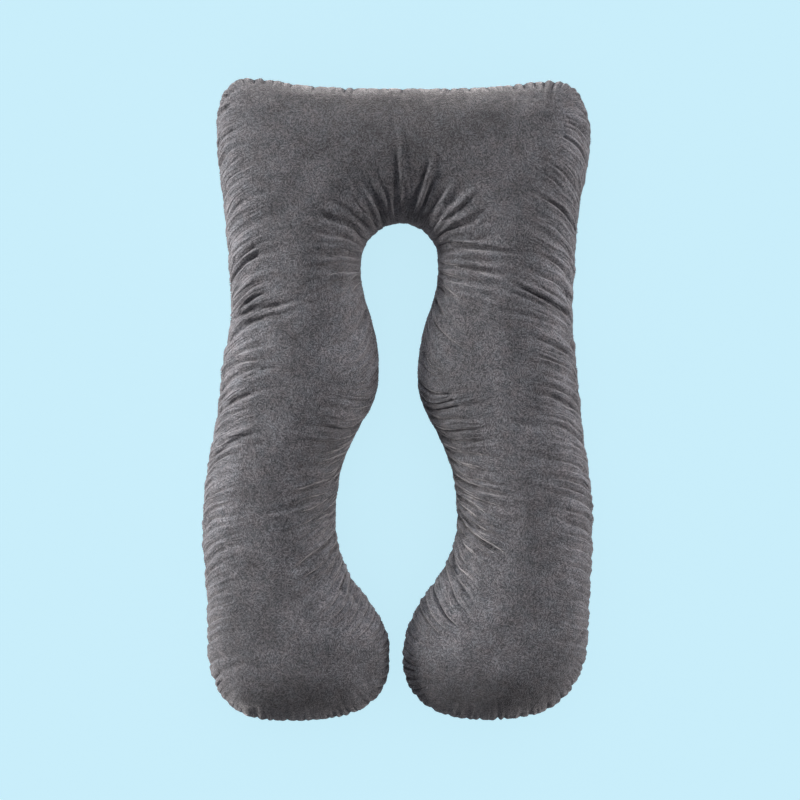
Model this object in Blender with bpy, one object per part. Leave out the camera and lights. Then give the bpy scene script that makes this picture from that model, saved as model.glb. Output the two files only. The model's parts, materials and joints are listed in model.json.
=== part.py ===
"""A U-shaped body pillow in velour, filled, lying on its back.

A front and a back panel of the same cut are sewn together round one long seam and filled
tight, so the pillow is one closed solid: a crown on top, the seam round its waist, which
gathers both panels into puckers, and an underside that is flat where it rests on z = 0.
Metres: X across the pillow, Y from its feet to its head, Z up. The origin is under the
middle of the pillow. Left and right are as seen from above with the head away.
"""

import math
import random
from collections import namedtuple

import bmesh
import bpy
import numpy as np
from mathutils import Vector
from mathutils.geometry import delaunay_2d_cdt

# The pillow is drawn in millimetres at its usual length, and scales with LENGTH, in metres.
LENGTH = 1.45
DRAWN_LENGTH = 1450
SEAM_HEIGHT = 88  # of the waist seam over the surface
CROWN = 105  # of the fullest place over the seam
BELLY = 112  # as far as the fill would hang below the seam with nothing under it
FULL_SPAN = 170  # half width at which the fill reaches the whole CROWN
SHOULDER = 1.15  # how slowly the fill rises from the seam: 1 is round, more is flatter
REST_BLEND = 7  # height over which the underside rounds off into its flat
VELOUR_COLOUR = "5b595d"

# The seam of the two arms at each height Y: its outer and inner side on either arm.
Section = namedtuple("Section", "y left_outer left_inner right_inner right_outer")
ARMS = (
    Section(290, -380, -84, 90, 398),
    Section(235, -377, -77, 83, 395),
    Section(165, -378, -55, 60, 394),
    Section(80, -395, -43, 45, 402),
    Section(0, -403, -52, 50, 409),
    Section(-70, -413, -90, 84, 416),
    Section(-150, -428, -125, 118, 428),
    Section(-235, -438, -139, 132, 437),
    Section(-315, -440, -137, 129, 438),
    Section(-390, -435, -113, 99, 435),
    Section(-460, -430, -63, 49, 431),
    Section(-530, -429, -24, 18, 428),
)

# The seam where it turns, as marks in order, clockwise from above.
Mark = namedtuple("Mark", "x y")
LEFT_SHOULDER = (Mark(-385, 352), Mark(-392, 430), Mark(-401, 500), Mark(-407, 565))
LEFT_CORNER = (Mark(-407, 630), Mark(-398, 678), Mark(-376, 709), Mark(-343, 722))
TOP_EDGE = (Mark(-287, 716), Mark(-215, 705), Mark(-125, 699), Mark(5, 697), Mark(140, 698), Mark(235, 703))
RIGHT_CORNER = (Mark(298, 711), Mark(358, 714), Mark(391, 704), Mark(414, 675), Mark(429, 632))
RIGHT_SHOULDER = (Mark(433, 585), Mark(426, 520), Mark(413, 455), Mark(402, 375))
RIGHT_FOOT = (
    Mark(424, -575), Mark(410, -621), Mark(384, -662), Mark(344, -697), Mark(286, -716), Mark(215, -723),
    Mark(148, -720), Mark(88, -705), Mark(48, -678), Mark(22, -641), Mark(11, -590),
)
NECK = (Mark(85, 342), Mark(58, 377), Mark(7, 396), Mark(-44, 379), Mark(-76, 341))
LEFT_FOOT = (
    Mark(-20, -588), Mark(-28, -640), Mark(-55, -680), Mark(-103, -708), Mark(-165, -721), Mark(-235, -725),
    Mark(-305, -722), Mark(-356, -707), Mark(-393, -675), Mark(-417, -630), Mark(-428, -582),
)

# How the seam gathers the cloth on each stretch of it: the spacing, height and reach of its
# puckers in millimetres, and how far they lean along the seam, in degrees.
Gather = namedtuple("Gather", "marks pitch height reach lean")


def column(side, order):
    """The marks of one side of the arms, going up (order 1) or down (order -1)."""
    places = sorted(ARMS, key=lambda section: order * section.y)
    return tuple(Mark(getattr(section, side), section.y) for section in places)


STRETCHES = (
    Gather(LEFT_SHOULDER, 36, 8, 50, 42),
    Gather(LEFT_CORNER, 27, 7, 34, 12),
    Gather(TOP_EDGE, 42, 4, 28, 0),
    Gather(RIGHT_CORNER, 29, 7, 34, -12),
    Gather(RIGHT_SHOULDER, 36, 7, 48, -38),
    Gather(column("right_outer", -1), 38, 8, 54, -32),
    Gather(RIGHT_FOOT, 30, 8, 44, -10),
    Gather(column("right_inner", 1), 34, 8, 54, -22),
    Gather(NECK, 27, 7, 60, 0),
    Gather(column("left_inner", -1), 34, 8, 54, 22),
    Gather(LEFT_FOOT, 30, 8, 44, 10),
    Gather(column("left_outer", 1), 38, 8, 54, 38),
)
PITCH_SPREAD = 0.28  # how much neighbouring puckers differ in width,
HEIGHT_SPREAD = 0.45  # in height
REACH_SPREAD = 0.5  # and in length, as a share
VALLEY_SHARE = 0.62  # how much of a pucker's height lies below the plain cloth
RIDGE_ROUND = 0.8  # power of the ridges' round top: under 1 narrows the valleys
FADE = 1.4  # power with which a pucker fades over its reach
SEAM_HOLD = 0.6  # share of a pucker's height left at the seam, which holds it down,
SEAM_FREE = 12  # and the distance from the seam at which it has all of it

# The main folds of the front panel: from one end to the other by way of a bow to the left
# of that line, deepest near the start. A negative depth is a ridge.
Fold = namedtuple("Fold", "x0 y0 x1 y1 bow depth width")
HEAD_FOLDS = (
    Fold(-2, 404, -8, 572, 0, 12, 22),
    Fold(6, 404, 4, 600, -4, -6, 26),
    Fold(-404, 640, -345, 666, 8, 10, 22),
    Fold(-396, 672, -366, 694, 0, 8, 18),
    Fold(426, 642, 392, 682, 0, 8, 20),
)
NECK_FOLDS = (
    Fold(-45, 396, -112, 492, 3, 12, 22),
    Fold(-28, 402, -70, 495, -4, 8, 22),
    Fold(-54, 371, -176, 434, -9, 10, 24),
    Fold(-96, 382, -214, 410, -3, 9, 24),
    Fold(-74, 342, -186, 368, -2, -8, 24),
    Fold(-84, 320, -212, 314, 3, 10, 24),
    Fold(-100, 294, -208, 284, 5, 10, 28),
    Fold(-84, 300, -225, 254, 6, -6, 24),
    Fold(36, 402, 72, 540, 3, 9, 26),
    Fold(54, 400, 84, 490, -2, 9, 22),
    Fold(60, 392, 92, 556, 5, -8, 22),
    Fold(88, 388, 188, 478, -3, -10, 24),
    Fold(96, 374, 205, 432, -2, -8, 22),
    Fold(106, 420, 160, 474, 0, 10, 30),
    Fold(92, 333, 236, 329, -2, 13, 26),
    Fold(96, 309, 246, 293, 2, 10, 22),
    Fold(98, 268, 278, 229, -3, 12, 26),
    Fold(128, 245, 244, 210, 0, 9, 24),
    Fold(118, 301, 278, 284, 0, -8, 22),
    Fold(88, 277, 130, 219, 8, 9, 22),
)
ARM_FOLDS = (
    Fold(-368, 177, -150, 216, -10, 13, 26),
    Fold(-365, 160, -212, 205, -4, -8, 26),
    Fold(-358, 207, -305, 231, 0, 9, 22),
    Fold(-397, -107, -304, -70, 0, 13, 30),
    Fold(-393, -78, -304, -45, 0, 9, 22),
    Fold(-380, -10, -304, 16, 0, 8, 24),
    Fold(-345, 43, -272, 68, 0, 8, 24),
    Fold(386, 186, 302, 221, 4, 12, 26),
    Fold(390, 226, 330, 257, 0, 10, 24),
    Fold(390, -22, 328, 16, 0, 9, 26),
    Fold(332, -66, 228, -47, 0, 8, 26),
    Fold(424, -164, 330, -140, 0, 9, 26),
    Fold(400, -214, 262, -187, -3, 10, 26),
    Fold(400, -101, 345, -66, 0, 8, 24),
)
CALF_FOLDS = (
    Fold(-140, -184, -262, -217, 5, 10, 26),
    Fold(-148, -222, -290, -273, -4, -8, 26),
    Fold(-146, -262, -246, -308, -4, 10, 26),
    Fold(-136, -336, -220, -377, 6, 10, 24),
    Fold(-118, -374, -200, -410, 0, 9, 22),
    Fold(-104, -416, -66, -502, -6, 9, 22),
    Fold(126, -178, 256, -216, 4, 10, 26),
    Fold(134, -221, 232, -261, 3, 10, 24),
    Fold(137, -266, 228, -304, 3, 10, 24),
    Fold(136, -306, 255, -345, 3, 10, 24),
    Fold(112, -372, 172, -408, 0, 9, 24),
)
FOLDS = HEAD_FOLDS + NECK_FOLDS + ARM_FOLDS + CALF_FOLDS
FOLD_LIP = 0.3  # height of the lips along a fold, as a share of its depth
LIP_PLACE = 2  # how far they lie from its middle, in half widths
FOLD_RISE = (-0.12, 0.08)  # between which shares of its length a fold deepens
FOLD_FALL = (1.08, 0.48)  # and between which it runs out

# The points that draw the cloth: on the seam, on rings inside it with a share of points for
# each pucker, along the folds, and as an even field over the rest. Each keeps clear of the
# points before it.
Ring = namedtuple("Ring", "depth share clear")
SEAM_STEP = 2  # between the dense points that measure the seam
SEAM_SHARE = 4
RINGS = (Ring(9, 4, 4.5), Ring(25, 2, 9), Ring(50, 2, 13))
RING_CLOSE = 0.85  # share of a ring's depth that a point keeps from the seam at a bend
FOLD_STEP = 27
FOLD_SIDES = (0, 0.85, -0.85)  # a fold's points across it, in widths
FOLD_CLEAR = 8
FOLD_DEPTH = 18  # inside the seam, where folds and field begin
FIELD_REACH = 800
FIELD_STEP = 36
FIELD_CLEAR = 24
INSIDE = 1  # of Delaunay's ways out, the one that keeps the triangles inside the seam
SAME_POINT = 1e-6
SETTLED = 1e-12  # share of the film's first error at which it counts as solved
MOST_STEPS = 4000


def seam_marks():
    """Every mark of the seam in order, each with the gather that holds there."""
    return [(mark, gather) for gather in STRETCHES for mark in gather.marks]


def smooth_loop(marks):
    """Dense points of the closed centripetal Catmull-Rom curve through the marks."""
    corners = np.array(marks, float)
    count = len(corners)
    reach = np.linalg.norm(np.roll(corners, -1, axis=0) - corners, axis=1) ** 0.5
    dense, owner = [], []
    for i in range(count):
        a, b, c, d = (corners[(i + k) % count] for k in (-1, 0, 1, 2))
        before, here, after = reach[i - 1], reach[i], reach[(i + 1) % count]
        start = (c - b) + here * ((b - a) / before - (c - a) / (before + here))
        end = (c - b) + here * ((d - c) / after - (d - b) / (here + after))
        for t in np.arange(0, 1, SEAM_STEP / max(here**2, SEAM_STEP)):
            dense.append(
                (2 * t**3 - 3 * t**2 + 1) * b + (t**3 - 2 * t**2 + t) * start
                + (3 * t**2 - 2 * t**3) * c + (t**3 - t**2) * end
            )
            owner.append(i + t)
    return np.array(dense), np.array(owner)


class Seam:
    """The seam line, read by the distance along it, and its puckers."""

    def __init__(self):
        marks = seam_marks()
        self.points, owner = smooth_loop([mark for mark, _ in marks])
        steps = np.linalg.norm(np.roll(self.points, -1, axis=0) - self.points, axis=1)
        self.along = np.concatenate([[0], np.cumsum(steps)])
        self.length = self.along[-1]
        ahead = np.roll(self.points, -1, axis=0) - np.roll(self.points, 1, axis=0)
        self.heading = ahead / np.linalg.norm(ahead, axis=1)[:, None]
        self.gathers = {}
        for name in ("pitch", "height", "reach", "lean"):
            at_marks = [getattr(gather, name) for _, gather in marks + marks[:1]]
            self.gathers[name] = np.interp(owner, np.arange(len(at_marks)), at_marks)
        self.lay_puckers(random.Random(5))

    def read(self, values, s):
        """Values given at the dense points, read at the distances s along the seam."""
        closed = np.concatenate([values, values[:1]])
        s = np.asarray(s) % self.length
        if closed.ndim == 1:
            return np.interp(s, self.along, closed)
        return np.stack([np.interp(s, self.along, closed[:, k]) for k in (0, 1)], axis=-1)

    def lay_puckers(self, chance):
        """Where each pucker starts, and its own height and reach."""
        starts, s = [], 0.0
        while s < self.length:
            starts.append(s)
            s += self.read(self.gathers["pitch"], s) * (1 + PITCH_SPREAD * chance.uniform(-1, 1))
        self.starts = np.array(starts) * self.length / s
        self.edges = np.append(self.starts, self.length)
        self.heights = self.read(self.gathers["height"], self.starts)
        self.heights *= [1 + HEIGHT_SPREAD * chance.uniform(-1, 1) for _ in starts]
        self.reaches = self.read(self.gathers["reach"], self.starts)
        self.reaches *= [1 + REACH_SPREAD * chance.uniform(-1, 1) for _ in starts]

    def rim(self, share=SEAM_SHARE):
        """Distances along the seam of a few points for each pucker, its valley first."""
        parts = np.arange(share) / share
        return (self.starts[:, None] + np.diff(self.edges)[:, None] * parts).ravel()

    def inside(self, s, depth):
        """The point that lies depth inside the seam, where a pucker from s has leant to."""
        s = s + depth * np.tan(np.radians(self.read(self.gathers["lean"], s)))
        heading = self.read(self.heading, s)
        inward = np.stack([heading[..., 1], -heading[..., 0]], axis=-1)
        return self.read(self.points, s) + inward * np.asarray(depth)[..., None]

    def nearest(self, point):
        """(distance along the seam, distance from it) of the seam's nearest place."""
        gaps = np.hypot(*(self.points - point).T)
        index = gaps.argmin()
        return self.along[index], gaps[index]

    def holds(self, point):
        """Whether a point of the plane lies inside the seam."""
        x, y = point
        a, b = self.points, np.roll(self.points, -1, axis=0)
        crossed = (a[:, 1] > y) != (b[:, 1] > y)
        a, b = a[crossed], b[crossed]
        crossings = a[:, 0] + (y - a[:, 1]) * (b[:, 0] - a[:, 0]) / (b[:, 1] - a[:, 1])
        return (crossings > x).sum() % 2 == 1

    def relief(self, s, depth):
        """Height of the puckers over the plain cloth, for points by their nearest seam."""
        foot = (s - depth * np.tan(np.radians(self.read(self.gathers["lean"], s)))) % self.length
        k = np.clip(np.searchsorted(self.edges, foot, side="right") - 1, 0, len(self.starts) - 1)
        phase = (foot - self.edges[k]) / (self.edges[k + 1] - self.edges[k])
        swell = np.sin(np.pi * phase) ** RIDGE_ROUND - VALLEY_SHARE
        held = SEAM_HOLD + (1 - SEAM_HOLD) * np.clip(depth / SEAM_FREE, 0, 1)
        return self.heights[k] * swell * held * np.exp(-((depth / self.reaches[k]) ** FADE))


def fold_axes(fold):
    """The start of a fold, its length, and the directions along and to the left of it."""
    start = np.array([fold.x0, fold.y0], float)
    run = np.array([fold.x1, fold.y1], float) - start
    length = np.linalg.norm(run)
    along = run / length
    return start, length, along, np.array([-along[1], along[0]])


def smooth_step(values, start, end):
    """0 at start, 1 at end, with no corner at either."""
    share = np.clip((values - start) / (end - start), 0, 1)
    return share**2 * (3 - 2 * share)


def fold_relief(points):
    """Height that the folds add to the front panel at points in the plane."""
    height = np.zeros(len(points))
    for fold in FOLDS:
        start, length, along, left = fold_axes(fold)
        place = (points - start) @ along / length
        off = np.abs((points - start) @ left - 4 * fold.bow * place * (1 - place)) / (fold.width / 2)
        trough = np.exp(-(off**2)) - FOLD_LIP * np.exp(-((off - LIP_PLACE) ** 2))
        height -= fold.depth * trough * smooth_step(place, *FOLD_RISE) * smooth_step(place, *FOLD_FALL)
    return height


def fold_points(fold):
    """The points of the mesh that draw one fold: its line and both its lips."""
    start, length, along, left = fold_axes(fold)
    for place in np.linspace(0, 1, max(2, round(length / FOLD_STEP) + 1)):
        middle = start + along * length * place + left * 4 * fold.bow * place * (1 - place)
        for side in FOLD_SIDES:
            yield middle + left * side * fold.width


def plan_points(seam):
    """The points of either panel in the plane: how many of them are the seam's, and all."""
    kept = list(seam.read(seam.points, seam.rim()))
    rim_count = len(kept)

    def keep(points, gap, depth):
        """Takes the points that lie deep enough inside and clear of those already taken."""
        for point in points:
            clear = np.hypot(*(np.array(kept) - point).T).min() >= gap
            if clear and seam.nearest(point)[1] >= depth and seam.holds(point):
                kept.append(point)

    for ring in RINGS:
        places = seam.rim(ring.share)
        keep(seam.inside(places, np.full(len(places), ring.depth)), ring.clear, RING_CLOSE * ring.depth)
        if ring is RINGS[0]:
            for fold in FOLDS:
                keep(fold_points(fold), FOLD_CLEAR, FOLD_DEPTH)
    columns = np.arange(-FIELD_REACH, FIELD_REACH, FIELD_STEP)
    for row, y in enumerate(np.arange(-FIELD_REACH, FIELD_REACH, FIELD_STEP * math.sin(math.pi / 3))):
        shift = FIELD_STEP / 2 * (row % 2)
        keep([(x + shift, y) for x in columns], FIELD_CLEAR, FOLD_DEPTH)
    return rim_count, np.array(kept)


def doubled_areas(a, b, c):
    """Twice the signed area of each triangle in the plane."""
    return (b[:, 0] - a[:, 0]) * (c[:, 1] - a[:, 1]) - (b[:, 1] - a[:, 1]) * (c[:, 0] - a[:, 0])


def panel_triangles(rim_count, points):
    """Delaunay triangles of the panel, bounded by its seam."""
    rim = [(i, (i + 1) % rim_count) for i in range(rim_count)]
    _, _, faces, sources, _, _ = delaunay_2d_cdt([Vector(p) for p in points], rim, [], INSIDE, SAME_POINT)
    triangles = np.array([[sources[corner][0] for corner in face] for face in faces])
    turned = doubled_areas(*(points[triangles[:, k]] for k in range(3))) < 0
    triangles[turned] = triangles[turned][:, ::-1]
    return triangles


def half_span(points, triangles, rim_count):
    """At each point, the half width of the tube that would be as full as the panel is there.

    A film held at the seam and blown up by an even pressure has a height u with -div grad u
    = 1. In a long strip of half width a that height is (a*a - x*x) / 2, so sqrt(2 u) is the
    round section of the strip, and it closes off smoothly at ends and corners.
    """
    a, b, c = (points[triangles[:, k]] for k in range(3))
    area = doubled_areas(a, b, c) / 2
    starts, ends, weights = [], [], []
    for k in range(3):
        i, j, far = triangles[:, k], triangles[:, (k + 1) % 3], triangles[:, (k + 2) % 3]
        one, two = points[i] - points[far], points[j] - points[far]
        starts.append(i)
        ends.append(j)
        weights.append((one * two).sum(axis=1) / (4 * area))
    i, j, w = np.concatenate(starts), np.concatenate(ends), np.concatenate(weights)
    count = len(points)
    free = np.arange(count) >= rim_count
    load = np.bincount(triangles.ravel(), np.repeat(area / 3, 3), count) * free
    diagonal = np.bincount(i, w, count) + np.bincount(j, w, count)

    def stiffness(u):
        return (diagonal * u - np.bincount(i, w * u[j], count) - np.bincount(j, w * u[i], count)) * free

    u = np.zeros(count)
    left = load.copy()
    step = left / diagonal
    strength = left @ step
    enough = SETTLED * strength
    for _ in range(MOST_STEPS):
        pushed = stiffness(step)
        size = strength / (step @ pushed)
        u += size * step
        left -= size * pushed
        eased = left / diagonal
        strength, before = left @ eased, strength
        if strength < enough:
            break
        step = eased + step * strength / before
    return np.sqrt(2 * np.maximum(u, 0))


def resting(height):
    """Heights flattened against z = 0, with a round turn into the flat."""
    turned = (height + REST_BLEND) ** 2 / (4 * REST_BLEND)
    return np.where(height > REST_BLEND, height, np.where(height < -REST_BLEND, 0, turned))


def vertex_normals(points, triangles):
    """The way out of the cloth at each point."""
    a, b, c = (points[triangles[:, k]] for k in range(3))
    across = np.cross(b - a, c - a)
    normals = np.zeros_like(points)
    for k in range(3):
        np.add.at(normals, triangles[:, k], across)
    return normals / np.linalg.norm(normals, axis=1)[:, None]


def pillow_mesh():
    """Points in metres and triangles of the whole pillow, front panel first."""
    seam = Seam()
    rim_count, plan = plan_points(seam)
    front = panel_triangles(rim_count, plan)
    span = half_span(plan, front, rim_count) / FULL_SPAN
    fill = np.tanh(span**SHOULDER) / math.tanh(1)
    inner = np.arange(rim_count, len(plan))
    back_point = np.concatenate([np.arange(rim_count), inner + len(inner)])
    triangles = np.concatenate([front, back_point[front][:, ::-1]])
    top = np.column_stack([plan, SEAM_HEIGHT + CROWN * fill])
    under = np.column_stack([plan, SEAM_HEIGHT - BELLY * fill])[inner]
    points = np.concatenate([top, under])

    places = np.array([seam.nearest(point) for point in plan])
    places[:rim_count, 0] = seam.rim()
    puckers = seam.relief(places[:, 0], places[:, 1])
    folds = fold_relief(plan) * np.clip(places[:, 1] / FOLD_DEPTH, 0, 1)
    lift = np.concatenate([puckers + folds, puckers[inner]])
    points += vertex_normals(points, triangles) * lift[:, None]
    points[len(plan) :, 2] = resting(points[len(plan) :, 2])
    return points * LENGTH / DRAWN_LENGTH, triangles


def velour():
    """Dark grey short-pile velour: matt, with a soft sheen towards its edges."""
    material = bpy.data.materials.new("grey_velour")
    material.use_nodes = True
    shader = material.node_tree.nodes["Principled BSDF"]
    channels = [int(VELOUR_COLOUR[i : i + 2], 16) / 255 for i in (0, 2, 4)]
    linear = [((channel + 0.055) / 1.055) ** 2.4 for channel in channels]
    shader.inputs["Base Color"].default_value = (*linear, 1)
    shader.inputs["Roughness"].default_value = 0.95
    shader.inputs["Metallic"].default_value = 0
    shader.inputs["Sheen Weight"].default_value = 0.4
    return material


def build_pillow():
    """The one filled solid, both panels and their seam."""
    points, triangles = pillow_mesh()
    shape = bmesh.new()
    corners = [shape.verts.new(point) for point in points]
    for a, b, c in triangles:
        shape.faces.new((corners[a], corners[b], corners[c]))
    mesh = bpy.data.meshes.new("pillow")
    shape.to_mesh(mesh)
    shape.free()
    mesh.shade_smooth()
    mesh.materials.append(velour())
    pillow = bpy.data.objects.new("pillow", mesh)
    bpy.context.scene.collection.objects.link(pillow)
    return pillow


def main():
    for obj in list(bpy.data.objects):
        bpy.data.objects.remove(obj)
    build_pillow()


main()
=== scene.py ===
"""A U-shaped body pillow in dark grey velour, filled, lying on its back on a pale floor.

The cover is a front and a back panel sewn together round one long seam at its waist, which
gathers both into puckers. Sizes are in metres where they are properties, and in millimetres
in the tables of puckers and creases. X runs across the pillow, Y from its feet to its head
and Z up; left and right are as seen from above with the head away.
"""

import json
import math
import random
import time
from collections import namedtuple

import bmesh
import bpy
import numpy as np
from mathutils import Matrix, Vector, kdtree, noise
from mathutils.geometry import delaunay_2d_cdt

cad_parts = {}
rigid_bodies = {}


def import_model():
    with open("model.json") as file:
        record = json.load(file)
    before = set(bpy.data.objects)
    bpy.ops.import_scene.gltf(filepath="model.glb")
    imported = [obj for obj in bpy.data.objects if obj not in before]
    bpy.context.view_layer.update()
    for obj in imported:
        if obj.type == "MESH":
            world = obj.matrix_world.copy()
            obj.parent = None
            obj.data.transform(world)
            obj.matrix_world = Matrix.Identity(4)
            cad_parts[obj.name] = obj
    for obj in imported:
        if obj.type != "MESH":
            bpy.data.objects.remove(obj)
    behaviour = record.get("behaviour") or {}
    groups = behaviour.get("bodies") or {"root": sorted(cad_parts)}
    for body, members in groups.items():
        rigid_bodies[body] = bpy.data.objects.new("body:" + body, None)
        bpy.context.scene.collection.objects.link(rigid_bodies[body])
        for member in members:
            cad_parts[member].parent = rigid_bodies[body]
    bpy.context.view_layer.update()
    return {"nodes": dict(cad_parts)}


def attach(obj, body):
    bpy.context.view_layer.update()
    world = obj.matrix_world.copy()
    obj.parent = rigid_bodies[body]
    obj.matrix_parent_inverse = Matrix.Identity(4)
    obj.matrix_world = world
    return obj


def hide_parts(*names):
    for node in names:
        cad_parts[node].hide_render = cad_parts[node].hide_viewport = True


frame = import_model()

bl_info = {
    "name": "Velour body pillow",
    "version": (1, 0, 0),
    "blender": (4, 5, 0),
    "location": "3D View > Sidebar > Body pillow",
    "description": "Sews, fills and dresses a U-shaped velour body pillow round its CAD model",
    "category": "Add Mesh",
}

MM = 0.001

# How the panels are cut, in millimetres: how near the seam and, as a share of the spacing, how
# near each other the points of the even field may lie; the width of an arm; the round turn
# into the flat that the pillow rests on; and how near the seam a crease fades out.
SEAM_CLEAR = 3
FIELD_CLEAR = 0.62
ARM_WIDTH = 300
FLAT_ROUND = 7
CREASE_FADE = (5, 30)

# The place on the pillow, in metres, that the middle of the picture looks straight down on.
VIEW_MIDDLE = (0.0045, -0.0034)

# How the seam gathers the cloth near each of these places: the spacing and height of its
# puckers in millimetres, how far they reach up the cloth, how far they lean along the seam as
# they go, clockwise from above, as a slope, and how much of them notches the seam itself.
Gather = namedtuple("Gather", "x y pitch height reach lean notch", defaults=(0.45,))
GATHERS = (
    Gather(-385, 352, 25, 8.1, 105, 0.85),
    Gather(-398, 480, 24, 7.5, 95, 0.80),
    Gather(-407, 620, 21, 7.4, 80, 0.65),
    Gather(-376, 709, 22, 6.5, 45, 0.15),
    Gather(-215, 705, 24, 4.5, 42, 0.00),
    Gather(5, 697, 26, 3.6, 45, 0.00),
    Gather(235, 703, 24, 4.2, 45, 0.00),
    Gather(391, 704, 20, 6.5, 55, -0.25),
    Gather(430, 620, 20, 7.8, 100, -0.80),
    Gather(413, 455, 21, 9.0, 125, -1.05),
    Gather(395, 235, 22, 9.2, 135, -0.90),
    Gather(409, 0, 23, 9.4, 145, -0.90),
    Gather(437, -235, 23, 8.7, 130, -0.75),
    Gather(428, -530, 22, 6.5, 75, -0.40),
    Gather(344, -697, 20, 6.0, 48, -0.20),
    Gather(215, -723, 17, 4.0, 40, 0.00, 0.5),
    Gather(60, -690, 20, 6.0, 48, -0.20),
    Gather(18, -530, 22, 6.5, 75, -0.45),
    Gather(99, -390, 21, 13.0, 160, -0.65, 0.35),
    Gather(125, -200, 22, 12.5, 170, -0.75, 0.25),
    Gather(50, 0, 24, 8.0, 120, -0.75, 0.2),
    Gather(82, 262, 17, 8.5, 180, -0.50, 0.15),
    Gather(64, 190, 22, 7.5, 140, -1.70, 0.2),
    Gather(50, 110, 24, 4.0, 90, -1.00, 0.25),
    Gather(85, 342, 15, 7.2, 200, -0.10, 0.1),
    Gather(7, 396, 15, 7.0, 210, 0.00, 0.1),
    Gather(-76, 341, 15, 7.2, 200, 0.10, 0.1),
    Gather(-48, 110, 24, 4.0, 90, 1.00, 0.25),
    Gather(-60, 190, 22, 7.5, 140, 1.70, 0.2),
    Gather(-80, 262, 17, 8.5, 170, 0.50, 0.15),
    Gather(-52, 0, 25, 7.5, 115, 0.75, 0.2),
    Gather(-132, -200, 23, 11.5, 160, 0.75, 0.25),
    Gather(-113, -390, 22, 11.0, 160, 0.60, 0.35),
    Gather(-24, -530, 22, 6.5, 75, 0.45),
    Gather(-80, -700, 20, 6.0, 48, 0.20),
    Gather(-235, -725, 17, 3.0, 40, 0.00, 0.5),
    Gather(-370, -690, 21, 6.0, 48, 0.20),
    Gather(-429, -530, 24, 6.8, 85, 0.55),
    Gather(-438, -235, 25, 8.7, 120, 0.85),
    Gather(-403, 0, 25, 8.7, 130, 0.95),
    Gather(-378, 200, 25, 8.7, 130, 0.95),
)

# The creases listed for the front panel: depth and half width in millimetres, a
# negative depth being a ridge, and the points of the line that each follows from its deep end.
Crease = namedtuple("Crease", "depth width line")
HEAD_CREASES = (
    (4.5, 5, (-404, 631), (-372, 662), (-340, 668)),
    (4.5, 4.5, (-401, 668), (-372, 692), (-350, 698)),
    (4.0, 4.5, (424, 650), (412, 672), (392, 680)),
    (3.5, 4.5, (428, 630), (408, 655), (390, 664)),
    (5.0, 6, (-3, 404), (-5, 480), (-8, 565)),
    (2.0, 6, (-9, 583), (-14, 651)),
    (-4.0, 5, (3, 404), (9, 527), (2, 650)),
    (3.0, 4.5, (-9, 697), (-9, 673)),
)
NECK_CREASES = (
    (4.5, 5, (-46, 392), (-81, 443), (-112, 494)),
    (4.0, 5, (-29, 400), (-45, 436), (-74, 496)),
    (3.0, 4, (-22, 402), (-36, 440)),
    (3.5, 5, (-54, 371), (-81, 391), (-120, 421), (-174, 434)),
    (3.0, 6, (-96, 381), (-153, 396), (-215, 410)),
    (3.0, 8, (-108, 354), (-183, 367)),
    (4.5, 5, (-84, 319), (-131, 315), (-212, 315)),
    (3.5, 8, (-104, 297), (-142, 283), (-207, 283)),
    (-3.0, 5, (-66, 357), (-131, 380), (-194, 380)),
    (-3.0, 5, (-72, 330), (-108, 344), (-173, 357)),
    (-2.5, 5, (-92, 331), (-142, 333), (-200, 330)),
    (-2.5, 4.5, (-88, 310), (-171, 303)),
    (-3.0, 6, (-100, 272), (-135, 274), (-176, 269), (-223, 256)),
    (3.5, 4.5, (-88, 262), (-122, 227)),
    (3.0, 4.5, (-76, 229), (-84, 193)),
    (-4.5, 4.5, (50, 430), (72, 504), (90, 556)),
    (-4.5, 5, (83, 378), (117, 414), (149, 441), (187, 476)),
    (-3.5, 4.5, (80, 400), (124, 479)),
    (-3.0, 5, (94, 371), (117, 384), (203, 431)),
    (-3.5, 8, (93, 337), (176, 352)),
    (4.0, 5, (33, 420), (72, 540)),
    (3.5, 5, (51, 402), (78, 483)),
    (4.0, 8, (104, 420), (160, 472)),
    (6.0, 6.5, (93, 330), (160, 331), (232, 328)),
    (5.0, 5, (94, 311), (243, 293)),
    (3.5, 5, (115, 294), (232, 271)),
    (5.0, 6, (94, 268), (230, 245), (277, 228)),
    (3.5, 5, (127, 246), (243, 210)),
    (-3.0, 5, (115, 302), (277, 284)),
    (-2.5, 5, (138, 234), (232, 203)),
    (2.5, 4.5, (88, 279), (97, 249), (131, 219)),
    (3.0, 4.5, (80, 229), (86, 193)),
)
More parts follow.
